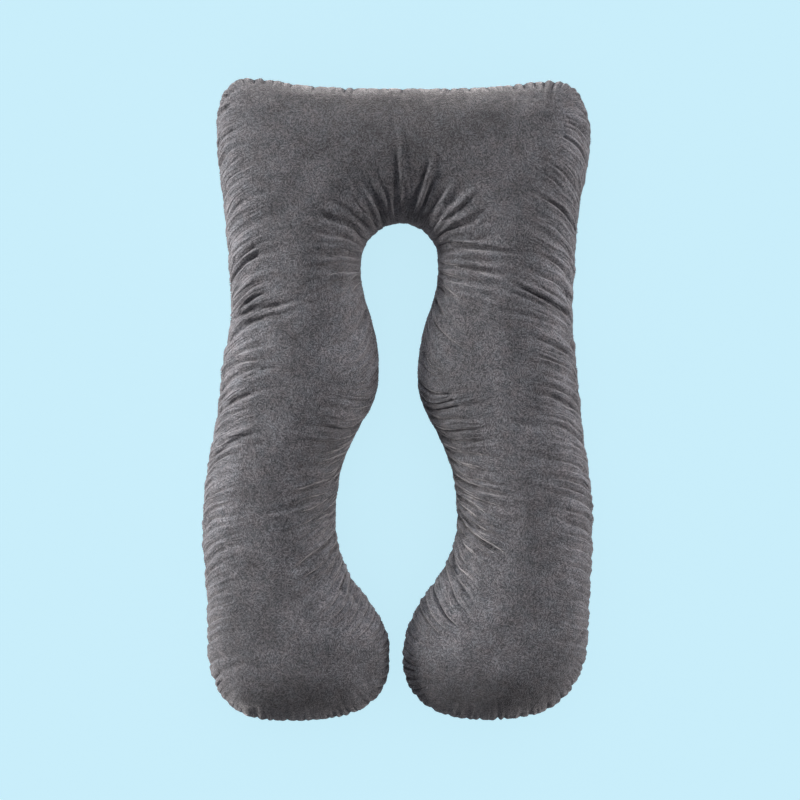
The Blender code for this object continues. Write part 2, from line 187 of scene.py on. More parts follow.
ARM_CREASES = (
    (4.5, 5.5, (-366, 182), (-334, 192), (-266, 205), (-150, 218)),
    (-4.0, 5.5, (-368, 170), (-322, 183), (-273, 192), (-187, 220), (-135, 233)),
    (2.5, 5, (-360, 207), (-305, 230)),
    (-3.0, 5.5, (-364, 185), (-330, 206), (-296, 223)),
    (2.0, 4.5, (-336, 300), (-298, 329)),
    (3.5, 4.5, (-361, 257), (-314, 291)),
    (4.0, 4.5, (-345, 43), (-275, 68)),
    (4.0, 4.5, (-381, -9), (-305, 16)),
    (5.0, 5, (-396, -77), (-305, -45)),
    (-3.0, 4.5, (-384, -89), (-305, -61)),
    (5.5, 6.5, (-400, -107), (-350, -88), (-305, -70)),
    (3.0, 4.5, (-324, -108), (-282, -95)),
    (6.5, 5, (380, 190), (340, 211), (240, 262), (150, 290), (96, 300)),
    (5.5, 5, (382, 172), (340, 196), (277, 226), (201, 240)),
    (-5.0, 5, (375, 202), (300, 240), (220, 268), (130, 285)),
    (-4.0, 5, (378, 184), (320, 214), (250, 240)),
    (5.0, 4.5, (385, 146), (345, 166), (270, 186), (200, 196)),
    (-3.5, 4.5, (380, 156), (330, 178), (262, 196)),
    (5.0, 4.5, (98, 342), (165, 330), (240, 322), (300, 312)),
    (-3.5, 4.5, (98, 350), (170, 340), (250, 330)),
    (3.5, 4.5, (90, 274), (99, 246), (117, 229), (150, 212)),
    (4.0, 4.5, (86, 256), (95, 231), (106, 206)),
    (4.0, 4.5, (81, 224), (86, 206), (97, 173)),
    (4.0, 4.5, (-85, 274), (-104, 256), (-120, 238)),
    (4.0, 4.5, (-83, 260), (-99, 227), (-110, 200)),
    (4.0, 4.5, (-79, 231), (-87, 198), (-99, 173)),
    (3.5, 4.5, (390, 226), (329, 257)),
    (4.5, 5, (386, 184), (347, 206), (302, 221)),
    (3.5, 4.5, (381, 135), (341, 160)),
    (3.5, 4.5, (381, 102), (348, 117)),
    (3.5, 5, (408, 11), (363, 38)),
    (4.0, 5, (390, -22), (329, 16)),
    (3.0, 5, (333, -36), (273, -18)),
    (3.0, 6, (333, -68), (228, -47)),
    (3.5, 5, (401, -101), (345, -66)),
    (3.0, 5, (333, -133), (273, -115)),
    (4.0, 5, (424, -164), (329, -140)),
    (3.0, 5, (390, -194), (318, -183)),
    (3.5, 5, (401, -214), (331, -204), (262, -187)),
)
CALF_CREASES = (
    (7.0, 5, (-150, -185), (-221, -206), (-261, -216)),
    (6.0, 5, (-150, -222), (-187, -229), (-255, -245), (-318, -261)),
    (5.5, 5, (-150, -262), (-187, -278), (-246, -307)),
    (6.0, 5, (-139, -334), (-176, -364), (-218, -376)),
    (5.5, 5, (-139, -374), (-200, -410)),
    (4.5, 4.5, (-150, -404), (-182, -428)),
    (4.5, 4.5, (-120, -433), (-130, -412)),
    (4.0, 5, (-107, -420), (-90, -454), (-67, -501)),
    (-2.5, 7, (-150, -210), (-221, -254), (-291, -273)),
    (-2.5, 7, (-140, -347), (-216, -392)),
    (-2.5, 7, (-44, -645), (-75, -607)),
    (7.0, 5, (126, -178), (185, -202), (255, -216)),
    (6.0, 5, (133, -221), (185, -247), (232, -261)),
    (6.0, 5, (140, -266), (185, -290), (228, -304)),
    (4.5, 6, (140, -303), (207, -330), (255, -345)),
    (4.5, 4.5, (172, -336), (209, -356)),
    (3.5, 5.5, (120, -374), (141, -399)),
    (4.5, 4.5, (142, -381), (171, -406)),
    (4.0, 4.5, (60, -465), (69, -482)),
    (4.0, 4.5, (37, -546), (53, -526)),
    (-2.5, 7, (172, -205), (232, -225)),
    (-2.0, 6.5, (149, -255), (176, -275)),
    (-2.5, 7, (183, -302), (225, -322)),
    (-2.5, 7, (145, -347), (191, -392)),
    (-2.0, 6.5, (130, -408), (145, -433)),
    (4.0, 4.5, (416, -521), (394, -546)),
)
CREASES = [
    Crease(depth, width, line)
    for depth, width, *line in HEAD_CREASES + NECK_CREASES + ARM_CREASES + CALF_CREASES
]

# Painted light and shade: patches where the pile's colour is made lighter or darker to stand in for how
# the light falls, darker over the head and the feet and lighter along the outer sides, among others:
# the middle and reach of each patch in millimetres, and its tone.
PaintedLightPatch = namedtuple("PaintedLightPatch", "x y across along tone")
PAINTED_LIGHT_PATCHES = (
    PaintedLightPatch(0, 680, 480, 220, 0.70),
    PaintedLightPatch(10, 540, 300, 190, 0.90),
    PaintedLightPatch(0, 705, 430, 90, 0.56),
    PaintedLightPatch(-60, 480, 130, 120, 0.92),
    PaintedLightPatch(425, 130, 125, 620, 1.42),
    PaintedLightPatch(440, -300, 110, 380, 1.16),
    PaintedLightPatch(-425, 150, 125, 700, 1.42),
    PaintedLightPatch(-90, 110, 90, 190, 1.14),
    PaintedLightPatch(120, 40, 110, 260, 0.88),
    PaintedLightPatch(130, -160, 90, 160, 0.83),
    PaintedLightPatch(-140, -380, 100, 120, 1.03),
    PaintedLightPatch(110, -430, 80, 130, 1.06),
    PaintedLightPatch(-235, -720, 280, 140, 0.59),
    PaintedLightPatch(225, -720, 280, 140, 0.59),
    PaintedLightPatch(430, 620, 110, 220, 1.33),
    PaintedLightPatch(-420, 640, 100, 170, 1.15),
    PaintedLightPatch(10, 110, 130, 140, 1.12),
    PaintedLightPatch(45, 60, 50, 260, 1.30),
    PaintedLightPatch(-105, -470, 130, 120, 1.24),
    PaintedLightPatch(100, -470, 150, 120, 1.20),
    PaintedLightPatch(110, 600, 250, 120, 0.92),
    PaintedLightPatch(-110, 100, 110, 100, 1.10),
    PaintedLightPatch(345, 215, 130, 120, 1.12),
    PaintedLightPatch(-350, 230, 150, 220, 1.12),
    PaintedLightPatch(400, 290, 120, 220, 1.14),
    PaintedLightPatch(-440, -560, 100, 200, 1.02),
    PaintedLightPatch(-330, -480, 90, 150, 0.84),
    PaintedLightPatch(-410, 400, 90, 220, 1.14),
    PaintedLightPatch(8, 425, 60, 60, 1.16),
    PaintedLightPatch(-155, -160, 80, 150, 0.84),
)

# ---------------------------------------------------------------- the seam

def waist_line(node, height):
    """The CAD pillow's outline at the height of its seam, clockwise from above, in mm."""
    shape = bmesh.new()
    shape.from_mesh(node.data)
    bmesh.ops.remove_doubles(shape, verts=shape.verts, dist=1e-5)
    everything = list(shape.verts) + list(shape.edges) + list(shape.faces)
    bmesh.ops.bisect_plane(
        shape, geom=everything, dist=1e-7, plane_co=(0, 0, height), plane_no=(0, 0, 1),
        clear_outer=True, clear_inner=True,
    )
    bmesh.ops.remove_doubles(shape, verts=shape.verts, dist=1e-5)
    left = set(shape.verts)
    longest = []
    while left:
        here = left.pop()
        loop = [here]
        while True:
            ahead = [e.other_vert(here) for e in here.link_edges if e.other_vert(here) in left]
            if not ahead:
                break
            here = ahead[0]
            left.discard(here)
            loop.append(here)
        longest = max(longest, loop, key=len)
    line = np.array([vert.co[:2] for vert in longest]) / MM
    shape.free()
    if doubled_area(line) > 0:
        line = line[::-1]
    # It starts at the head's left corner each run, whichever point was found first.
    start = int((line[:, 1] - line[:, 0]).argmax())
    return np.roll(line, -start, axis=0)


def doubled_area(line):
    """Twice the signed area that a closed line holds."""
    ahead = np.roll(line, -1, axis=0)
    return float((line[:, 0] * ahead[:, 1] - line[:, 1] * ahead[:, 0]).sum())


def evenly(line, count):
    """A closed line as count points at even distances, and its length."""
    closed = np.concatenate([line, line[:1]])
    steps = np.hypot(*np.diff(closed, axis=0).T)
    along = np.concatenate([[0], np.cumsum(steps)])
    places = np.arange(count) * along[-1] / count
    return np.stack([np.interp(places, along, closed[:, k]) for k in (0, 1)], axis=-1), along[-1]


def without_scallops(line, blur):
    """A closed line freed of waves shorter than the blur in mm, its bends kept."""
    count = 4096
    even, length = evenly(line, count)
    waves = np.fft.fft(even[:, 0] + 1j * even[:, 1])
    rate = np.abs(np.fft.fftfreq(count, length / count))
    soft = np.exp(-((2 * np.pi * rate * blur) ** 2) / 2)
    smooth = np.fft.ifft(waves * (1 - (1 - soft) ** 2))
    return np.column_stack([smooth.real, smooth.imag])


class Seam:
    """The seam as a closed line, read by the distance along it, and the gathers on it.

    SPACING is the distance between its points, SCALLOP the longest wave that is left to the
    puckers, and BEND the reach over which its turn is read, all in millimetres.
    """

    SPACING = 2
    SCALLOP = 20
    BEND = 20

    def __init__(self, node, sizes):
        line = without_scallops(waist_line(node, sizes.seam_height), self.SCALLOP)
        count = round(evenly(line, 64)[1] / self.SPACING)
        self.points, self.length = evenly(line, count)
        self.step = self.length / count
        ahead = np.roll(self.points, -1, axis=0) - np.roll(self.points, 1, axis=0)
        self.heading = ahead / np.hypot(*ahead.T)[:, None]
        self.points += self.outward() * sizes.seam_outset / MM
        bend = np.unwrap(np.arctan2(self.heading[:, 1], self.heading[:, 0]))
        window = round(self.BEND / self.step)
        self.turn = np.roll(bend, -window) - np.roll(bend, window)
        self.turn = (self.turn + math.pi) % (2 * math.pi) - math.pi
        self.turn /= 2 * window * self.step
        self.tree = kdtree.KDTree(count)
        for i, point in enumerate(self.points):
            self.tree.insert((*point, 0), i)
        self.tree.balance()
        self.gathers = {}
        at = self.nearest([(g.x, g.y) for g in GATHERS])[0]
        order = at.argsort()
        for name in Gather._fields[2:]:
            values = np.array([getattr(g, name) for g in GATHERS], float)[order]
            self.gathers[name] = (at[order], values)

    def holds(self, points):
        """Which points of the plane lie inside the seam."""
        a, b = self.points, np.roll(self.points, -1, axis=0)
        inside = np.zeros(len(points), bool)
        rows, index = np.unique(points[:, 1], return_inverse=True)
        index = index.reshape(-1)
        order = index.argsort(kind="stable")
        ends = np.searchsorted(index[order], np.arange(len(rows) + 1))
        for i, y in enumerate(rows):
            crossed = (a[:, 1] > y) != (b[:, 1] > y)
            p, q = a[crossed], b[crossed]
            walls = np.sort(p[:, 0] + (y - p[:, 1]) * (q[:, 0] - p[:, 0]) / (q[:, 1] - p[:, 1]))
            here = order[ends[i] : ends[i + 1]]
            inside[here] = np.searchsorted(walls, points[here, 0]) % 2 == 1
        return inside

    def outward(self):
        """The way out of the seam at each of its points."""
        return np.column_stack([-self.heading[:, 1], self.heading[:, 0]])

    def read(self, values, s):
        """Values given at the seam's points, read at the distances s along it."""
        place = (np.asarray(s) % self.length) / self.step
        low = place.astype(int) % len(values)
        share = place - np.floor(place)
        if values.ndim > 1:
            share = share[..., None]
        return values[low] * (1 - share) + values[(low + 1) % len(values)] * share

    def gather(self, name, s):
        """One of the gather's sizes at the distances s along the seam."""
        at, values = self.gathers[name]
        return np.interp(np.asarray(s) % self.length, at, values, period=self.length)

    def inside(self, s, depth):
        """The points that lie depth inside the seam at s."""
        return self.read(self.points, s) - self.read(self.outward(), s) * np.asarray(depth)[..., None]

    def nearest(self, points):
        """(distances along the seam, distances from it) of the seam's nearest places."""
        points = np.asarray(points, float).reshape(-1, 2)
        count = len(self.points)
        found = np.array([self.tree.find((x, y, 0))[1] for x, y in points], int)
        along, gaps = np.zeros(len(points)), np.full(len(points), 1e9)
        for first in (found - 1, found):
            start = self.points[first % count]
            run = self.points[(first + 1) % count] - start
            share = np.clip(((points - start) * run).sum(axis=1) / (run**2).sum(axis=1), 0, 1)
            gap = np.hypot(*(start + run * share[:, None] - points).T)
            closer = gap < gaps
            along[closer] = ((first + share) * self.step)[closer]
            gaps[closer] = gap[closer]
        return along % self.length, gaps


class Puckers:
    """One family of puckers round the seam, each with its own width, height and reach.

    It is taller or longer than the gather by a share, takes a share of the gather's notch,
    has crevices of some depth between its puckers, and starts over a quiet strip by the
    seam. FOLD is the half width of a crevice in mm, STRIP the widest quiet strip and EASED
    how much narrower a whole notch makes it.
    """

    FOLD = 4
    STRIP = 45
    EASED = 50

    def __init__(self, seam, chance, starts, taller, longer, notched, crevice, quiet):
        self.seam = seam
        self.notches = seam.gather("notch", starts) * notched
        self.quiet = (self.STRIP - self.EASED * seam.gather("notch", starts)) * quiet
        self.starts = starts
        self.edges = np.append(starts, starts[0] + seam.length)
        self.folds = np.array([crevice * chance.uniform(-0.25, 1.4) for _ in starts])
        self.heights = seam.gather("height", starts) * taller
        self.heights *= [1 + 0.6 * chance.uniform(-1, 1) for _ in starts]
        self.reaches = seam.gather("reach", starts) * longer
        self.reaches *= [1 + 0.5 * chance.uniform(-1, 1) for _ in starts]
        self.skews = -0.2 * seam.gather("lean", starts)
        self.skews += [chance.uniform(-0.12, 0.12) for _ in starts]

    def relief(self, foot, climb, stretch):
        """Height over the plain cloth at feet along the seam and climbs up from it.

        stretch is how much further apart than at the seam the puckers are there. Each edge
        between two puckers is also drawn into a narrow fold, or stands up as one.
        """
        foot = (foot - self.starts[0]) % self.seam.length + self.starts[0]
        k = np.clip(np.searchsorted(self.edges, foot, side="right") - 1, 0, len(self.starts) - 1)
        width = self.edges[k + 1] - self.edges[k]
        phase = (foot - self.edges[k]) / width
        phase = np.clip(phase + self.skews[k] * np.sin(np.pi * phase) ** 2, 0, 1)
        swell = np.sin(np.pi * phase) ** 0.65 - 0.7
        nxt = (k + 1) % len(self.starts)
        fold = np.where(phase < 0.5, self.folds[k], self.folds[nxt])
        aside = np.minimum(phase, 1 - phase) * width * stretch
        fold = fold * np.exp(-((aside / self.FOLD) ** 1.3))
        blend = smooth(phase, 0.5, 1)
        before = smooth(1 - phase, 0.5, 1)
        prev = (k - 1) % len(self.starts)
        height = self.heights[k] * (1 - 0.5 * blend - 0.5 * before)
        height += 0.5 * blend * self.heights[nxt] + 0.5 * before * self.heights[prev]
        reach = self.reaches[k] * (1 - 0.5 * blend - 0.5 * before)
        reach += 0.5 * blend * self.reaches[nxt] + 0.5 * before * self.reaches[prev]
        held = smooth(climb + self.quiet[k] * self.notches[k], 0, self.quiet[k])
        swell = swell / np.sqrt(stretch) * np.exp(-((climb / reach) ** 1.5))
        return height * held * (swell - fold * np.exp(-((climb / reach / 1.2) ** 2)))


def spaced(seam, chance, finer, spread):
    """Where the puckers of a family start along the seam."""
    starts, s = [], 0.0
    while s < seam.length:
        starts.append(s)
        s += float(seam.gather("pitch", s)) * finer * (1 + spread * chance.uniform(-1, 1))
    return np.array(starts) * seam.length / s


def bunched(starts, chance):
    """One start in every one, two or three, where puckers run together into a broad one."""
    picked, k = [], 0
    while k < len(starts):
        picked.append(starts[k])
        k += chance.choice((1, 2, 2, 3))
    return np.array(picked)


def smooth(values, start, end):
    """0 at start, 1 at end, with no corner at either."""
    share = np.clip((values - start) / (end - start), 0, 1)
    return share**2 * (3 - 2 * share)


class Comb:
    """Which way the puckers lie: they start at a foot on the seam, lean along it and wander.

    CURL is the climb over which the lean dies out, WANDER how far a pucker strays, HIGHEST
    the end of the table of feet, LEVEL and SPOT its steps up and along, and MARGIN how far
    past the seam's start and end feet are tried, all in millimetres.
    """

    CURL = 110
    WANDER = 7
    HIGHEST = 270
    LEVEL = 6
    SPOT = 2
    MARGIN = 400

    def __init__(self, seam):
        self.seam = seam
        self.levels = np.arange(0, self.HIGHEST, self.LEVEL)
        feet = np.arange(-self.MARGIN, seam.length + self.MARGIN, self.SPOT)
        self.spots = np.arange(0, seam.length, self.SPOT)
        self.feet = np.array([
            np.interp(self.spots, feet + self.shift(feet, climb), feet) for climb in self.levels
        ])

    def shift(self, feet, climb):
        """How far along the seam a pucker has gone at some climb."""
        lean = self.seam.gather("lean", feet) * self.CURL * (1 - math.exp(-climb / self.CURL))
        start = self.seam.read(self.seam.points, feet) / 55
        wander = np.array([noise.noise(Vector((x, y, climb / 70))) for x, y in start])
        return lean + self.WANDER * wander * min(climb / 60, 1)

    def foot(self, s, climb):
        """The foot of the pucker at the distances s along the seam and climbs up from it."""
        column = np.clip(s / self.SPOT, 0, len(self.spots) - 1.001)
        row = np.clip(climb / self.LEVEL, 0, len(self.levels) - 1.001)
        i, j = row.astype(int), column.astype(int)
        up, on = row - i, column - j
        low = self.feet[i, j] * (1 - on) + self.feet[i, j + 1] * on
        high = self.feet[i + 1, j] * (1 - on) + self.feet[i + 1, j + 1] * on
        return low * (1 - up) + high * up


# ---------------------------------------------------------------- the panels

def doubled_areas(a, b, c):
    """Twice the signed area of each triangle in the plane."""
    return (b[:, 0] - a[:, 0]) * (c[:, 1] - a[:, 1]) - (b[:, 1] - a[:, 1]) * (c[:, 0] - a[:, 0])


def curve_through(marks, step):
    """Points at about even steps on the Catmull-Rom curve through a few marks."""
    marks = np.array(marks, float)
    ends = np.concatenate([[2 * marks[0] - marks[1]], marks, [2 * marks[-1] - marks[-2]]])
    found = []
    for i in range(1, len(ends) - 2):
        a, b, c, d = ends[i - 1 : i + 3]
        for t in np.arange(0, 1, step / max(np.hypot(*(c - b)), step)):
            found.append(
                0.5 * (2 * b + (c - a) * t + (2 * a - 5 * b + 4 * c - d) * t**2
                       + (3 * b - 3 * c + d - a) * t**3)
            )
    found.append(marks[-1])
    return np.array(found)


class Climb:
    """How far up the cloth a place at some depth inside the seam lies, and back, in mm."""

    def __init__(self, rise):
        # The cloth stands steep by the seam, so the table is fine there.
        self.depths = np.concatenate([np.linspace(0, 4, 200), np.linspace(4.1, 200, 1500)])
        heights = rise(self.depths)
        steps = np.hypot(np.diff(self.depths), np.diff(heights))
        self.climbs = np.concatenate([[0], np.cumsum(steps)])

    def up(self, depth):
        return np.interp(depth, self.depths, self.climbs)

    def down(self, climb):
        return np.interp(climb, self.climbs, self.depths)


def fill_height(span, sizes):
    """Share of the whole crown at places with these half spans, in mm."""
    return np.tanh((span / (sizes.full_span / MM)) ** sizes.shoulder) / math.tanh(1)


def cut_panel(seam, columns, rows, crease_points, field_step, crease_clear):
    """A panel in the plane: its points, those of the seam first, and its triangles.

    columns are the distances along the seam of its own points, rows the (depth, distances
    along the seam) of the rows inside it, and an even field fills the rest. A crease's
    points keep crease_clear off each other and what is there before.
    """
    rim = seam.inside(columns, np.zeros(len(columns)))
    points = [rim]
    for depth, s in rows:
        row = seam.inside(s, np.full(len(s), depth))
        points.append(row[seam.nearest(row)[1] > depth - 0.5])
    plan = np.concatenate(points)
    for candidates, clear, is_crease in (
        (np.array(crease_points).reshape(-1, 2), crease_clear, True),
        (even_field(seam, field_step), field_step * FIELD_CLEAR, False),
    ):
        tree = kdtree.KDTree(len(plan))
        for i, (x, y) in enumerate(plan):
            tree.insert((x, y, 0), i)
        tree.balance()
        gaps = np.array([tree.find((x, y, 0))[2] for x, y in candidates])
        candidates = candidates[gaps >= clear]
        inside = seam.holds(candidates) & (seam.nearest(candidates)[1] > SEAM_CLEAR)
        candidates = candidates[inside]
        if is_crease:
            candidates = thinned(candidates, clear)
        plan = np.concatenate([plan, candidates])
    edges = [(i, (i + 1) % len(columns)) for i in range(len(columns))]
    _, _, faces, sources, _, _ = delaunay_2d_cdt([Vector(p) for p in plan], edges, [], 1, 1e-6)
    triangles = np.array([[sources[corner][0] for corner in face] for face in faces])
    turned = doubled_areas(*(plan[triangles[:, k]] for k in range(3))) < 0
    triangles[turned] = triangles[turned][:, ::-1]
    used = np.zeros(len(plan), bool)
    used[triangles.ravel()] = True
    return plan[used], (np.cumsum(used) - 1)[triangles]


def thinned(points, clear):
    """The points in order, without those that crowd an earlier one."""
    cells, kept = {}, []
    for x, y in points:
        column, row = int(x // clear), int(y // clear)
        around = [(column + a, row + b) for a in (-1, 0, 1) for b in (-1, 0, 1)]
        near = [q for cell in around for q in cells.get(cell, ())]
        if all((x - q[0]) ** 2 + (y - q[1]) ** 2 >= clear**2 for q in near):
            cells.setdefault((column, row), []).append((x, y))
            kept.append((x, y))
    return np.array(kept).reshape(-1, 2)


def even_field(seam, step):
    """Points of an even triangular field over the seam's box."""
    low, high = seam.points.min(axis=0), seam.points.max(axis=0)
    found = []
    for row, y in enumerate(np.arange(low[1], high[1], step * math.sin(math.pi / 3))):
        xs = np.arange(low[0] + step / 2 * (row % 2), high[0], step)
        found.append(np.column_stack([xs, np.full(len(xs), y)]))
    return np.concatenate(found)


def half_span(points, triangles, rim_count):
    """At each point, the half width of the tube that would be as full as the panel is there.

    A film held at the seam and blown up by an even pressure has a height u with -div grad u
    = 1. In a long strip of half width a that height is (a*a - x*x) / 2, so sqrt(2 u) is the
    round section of the strip, and it closes off smoothly at ends and corners.
    """
    a, b, c = (points[triangles[:, k]] for k in range(3))
    area = doubled_areas(a, b, c) / 2
    starts, ends, weights = [], [], []
    for k in range(3):
        i, j, far = triangles[:, k], triangles[:, (k + 1) % 3], triangles[:, (k + 2) % 3]
        one, two = points[i] - points[far], points[j] - points[far]
        starts.append(i)
        ends.append(j)
        weights.append((one * two).sum(axis=1) / (4 * area))
    i, j, w = np.concatenate(starts), np.concatenate(ends), np.concatenate(weights)
    count = len(points)
    free = np.arange(count) >= rim_count
    load = np.bincount(triangles.ravel(), np.repeat(area / 3, 3), count) * free
    diagonal = np.bincount(i, w, count) + np.bincount(j, w, count)

    def stiffness(u):
        left_over = diagonal * u - np.bincount(i, w * u[j], count)
        return (left_over - np.bincount(j, w * u[i], count)) * free

    # Conjugate gradients, eased by the diagonal.
    u = np.zeros(count)
    left = load.copy()
    step = left / diagonal
    strength = left @ step
    enough = 1e-9 * strength
    for _ in range(3000):
        pushed = stiffness(step)
        size = strength / (step @ pushed)
        u += size * step
        left -= size * pushed
        eased = left / diagonal
        strength, before = left @ eased, strength
        if strength < enough:
            break
        step = eased + step * strength / before
    return np.sqrt(2 * np.maximum(u, 0))


def vertex_normals(points, triangles):
    """The way out of the cloth at each point."""
    a, b, c = (points[triangles[:, k]] for k in range(3))
    across = np.cross(b - a, c - a)
    normals = np.column_stack([
        sum(np.bincount(triangles[:, k], across[:, axis], len(points)) for k in range(3))
        for axis in range(3)
    ])
    return normals / np.linalg.norm(normals, axis=1)[:, None]


def resting(height, blend):
    """Heights flattened against the floor, with a round turn into the flat."""
    turned = (height + blend) ** 2 / (4 * blend)
    return np.where(height > blend, height, np.where(height < -blend, 0, turned))


def crease_relief(plan):
    """Height that the creases add to the front panel at points in the plane, in mm."""
    height = np.zeros(len(plan))
    for crease in CREASES:
        line = curve_through(crease.line, 4)
        aside = 4 * crease.width
        low, high = line.min(axis=0) - aside, line.max(axis=0) + aside
        near = np.flatnonzero(((plan > low) & (plan < high)).all(axis=1))
        steps = np.hypot(*np.diff(line, axis=0).T)
        along = np.concatenate([[0], np.cumsum(steps)])
        best = np.full(len(near), 1e9)
        place = np.zeros(len(near))
        for k in range(len(steps)):
            run = line[k + 1] - line[k]
            offset = plan[near] - line[k]
            share = offset @ run / steps[k] ** 2
            if 0 < k < len(steps) - 1:
                share = np.clip(share, 0, 1)
            elif k == 0:
                share = np.minimum(share, 1)
            else:
                share = np.maximum(share, 0)
            gap = np.hypot(*(offset - share[:, None] * run).T)
            closer = gap < best
            best = np.where(closer, gap, best)
            place = np.where(closer, (along[k] + share * steps[k]) / along[-1], place)
        # It is deep soon after its start and dies out slowly, with a low welt on either side.
        ends = smooth(place, -0.10, 0.12) * smooth(place, 1.08, 0.45)
        off = best / crease.width
        trough = np.exp(-(off**1.6)) - 0.34 * np.exp(-(((off - 2.1) / 0.9) ** 2))
        height[near] -= crease.depth * trough * ends
    return height


def lumps(plan, size, seed):
    """Soft unevenness of the fill, about -1 to 1, in lumps of about this size in mm."""
    return np.array([noise.noise(Vector((x / size, y / size, seed))) for x, y in plan])


# ---------------------------------------------------------------- the pillow

def pillow_shape(seam, sizes):
    """The whole pillow's points in mm and triangles, and what is known of its points."""
    chance = random.Random(11)
    starts = spaced(seam, chance, finer=1.0, spread=0.3)
    middle = Puckers(seam, chance, starts, taller=0.7, longer=1.0, notched=0.4, crevice=0.4,
                     quiet=1.1)
    broad = Puckers(seam, chance, bunched(starts, chance), taller=0.68, longer=1.1,
                    notched=1.0, crevice=0.65, quiet=1)
    starts = spaced(seam, chance, finer=0.6, spread=0.4)
    fine = Puckers(seam, chance, starts, taller=0.65, longer=0.8, notched=0.2, crevice=0.5,
                   quiet=1.9)
    # Near its seam an arm is as full as a strip, whose half span is sqrt(width * depth).
    wall = Climb(lambda d: sizes.crown / MM * fill_height(np.sqrt(ARM_WIDTH * d), sizes))

    # Each pucker has eight columns of points, closer together by its edges, where it is steep.
    comb = Comb(seam)
    parts = np.array([0, 0.07, 0.18, 0.33, 0.5, 0.67, 0.82, 0.93])
    columns = (middle.starts[:, None] + np.diff(middle.edges)[:, None] * parts).ravel()
    step = sizes.cloth_step / MM
    climbs = np.concatenate([[step / 2], np.arange(step, 190, step)])
    front_rows = []
    for climb in climbs:
        feet = columns[seam.gather("reach", columns) > climb]
        front_rows.append((wall.down(climb), feet + comb.shift(feet, climb)))
    crease_points = []
    for crease in CREASES:
        line = curve_through(crease.line, step)
        ahead = np.gradient(line, axis=0)
        across = np.column_stack([-ahead[:, 1], ahead[:, 0]]) / np.hypot(*ahead.T)[:, None]
        for side in (0, 0.6, -0.6, 1.3, -1.3, 2.2, -2.2):
            crease_points.extend(line + across * side * crease.width)
    front_plan, front = cut_panel(
        seam, columns, front_rows, crease_points, field_step=step * 1.15,
        crease_clear=step * FIELD_CLEAR)
    # The back lies on its face, so it is cut coarser past its wall.
    climbs = np.array([3, 9, 18, 28, 39, 51, 64, 78])
    feet = columns[::2]
    back_rows = [(wall.down(climb), feet + comb.shift(feet, climb)) for climb in climbs]
    back_plan, back = cut_panel(seam, columns, back_rows, [], field_step=14, crease_clear=5)

    rim_count = len(columns)
    front_span = half_span(front_plan, front, rim_count)
    back_span = half_span(back_plan, back, rim_count)
    front_fill, back_fill = fill_height(front_span, sizes), fill_height(back_span, sizes)
    waist = sizes.seam_height / MM
    top = np.column_stack([front_plan, waist + sizes.crown / MM * front_fill])
    under = np.column_stack([back_plan, waist - sizes.belly / MM * back_fill])[rim_count:]
    points = np.concatenate([top, under])
    moved = np.arange(len(back_plan))
    moved[rim_count:] += len(front_plan) - rim_count
    triangles = np.concatenate([front, moved[back][:, ::-1]])

    plan = np.concatenate([front_plan, back_plan[rim_count:]])
    s, depth = seam.nearest(plan)
    s[:rim_count], depth[:rim_count] = columns, 0
    climb = wall.up(depth)
    foot = comb.foot(s, climb)
    span = np.concatenate([front_span, back_span[rim_count:]])
    spine = smooth(depth / np.maximum(span, 1), 0.97, 0.50)
    stretch = np.clip(1 + depth * seam.read(seam.turn, s), 0.5, 4)
    relief = sum(family.relief(foot, climb, stretch) for family in (broad, middle, fine))
    relief *= spine * sizes.pucker_height
    relief -= sizes.seam_groove / MM * np.exp(-((climb / 4) ** 2))
    is_back = np.arange(len(plan)) >= len(front_plan)
    softness = lumps(plan, 120, 1.3) * 5 + lumps(plan, 60, 8.1) * 2.2
    relief += np.where(is_back, 0, softness * smooth(climb, 20, 120)) * sizes.lump_height
    points = points + vertex_normals(points, triangles) * relief[:, None]
    points[is_back, 2] = resting(points[is_back, 2], FLAT_ROUND)

    # What the material reads: how hard the seam pulls the cloth, from 0 to about 1, and the
    # cloth's place along the seam, wound round a cylinder so that it closes, and up from it.
    reach = seam.gather("reach", s)
    pull = spine * seam.gather("height", s) / 9 * np.exp(-((climb / reach) ** 1.3))
    round_seam = seam.length / (2 * math.pi)
    angle = foot / round_seam
    weave = np.column_stack([np.cos(angle), np.sin(angle), climb / round_seam]) * round_seam * MM
    return points, triangles, dict(
        rim=rim_count, front=len(front_plan), plan=plan, climb=climb,
        pinned=(np.arange(len(plan)) < rim_count) | is_back, pull=pull, weave=weave,
    )


def mesh_of(name, points, triangles):
    """A mesh of points in mm and triangles."""
    mesh = bpy.data.meshes.new(name)
    mesh.vertices.add(len(points))
    mesh.vertices.foreach_set("co", (points * MM).astype(np.float32).ravel())
    mesh.loops.add(3 * len(triangles))
    mesh.loops.foreach_set("vertex_index", triangles.astype(np.int32).ravel())
    mesh.polygons.add(len(triangles))
    mesh.polygons.foreach_set("loop_start", np.arange(0, 3 * len(triangles), 3, dtype=np.int32))
    mesh.update(calc_edges=True)
    mesh.validate()
    mesh.shade_smooth()
    return mesh


def give(mesh, name, kind, values):
    """Stores one value or vector at each point of the mesh, for its material to read."""
    field = "vector" if kind == "FLOAT_VECTOR" else "value"
    data = mesh.attributes.new(name, kind, "POINT").data
    data.foreach_set(field, np.ravel(values).astype(np.float32))


def coordinates(mesh):
    """The mesh's points in metres."""
    points = np.zeros(len(mesh.vertices) * 3, np.float32)
    mesh.vertices.foreach_get("co", points)
    return points.reshape(-1, 3).astype(float)


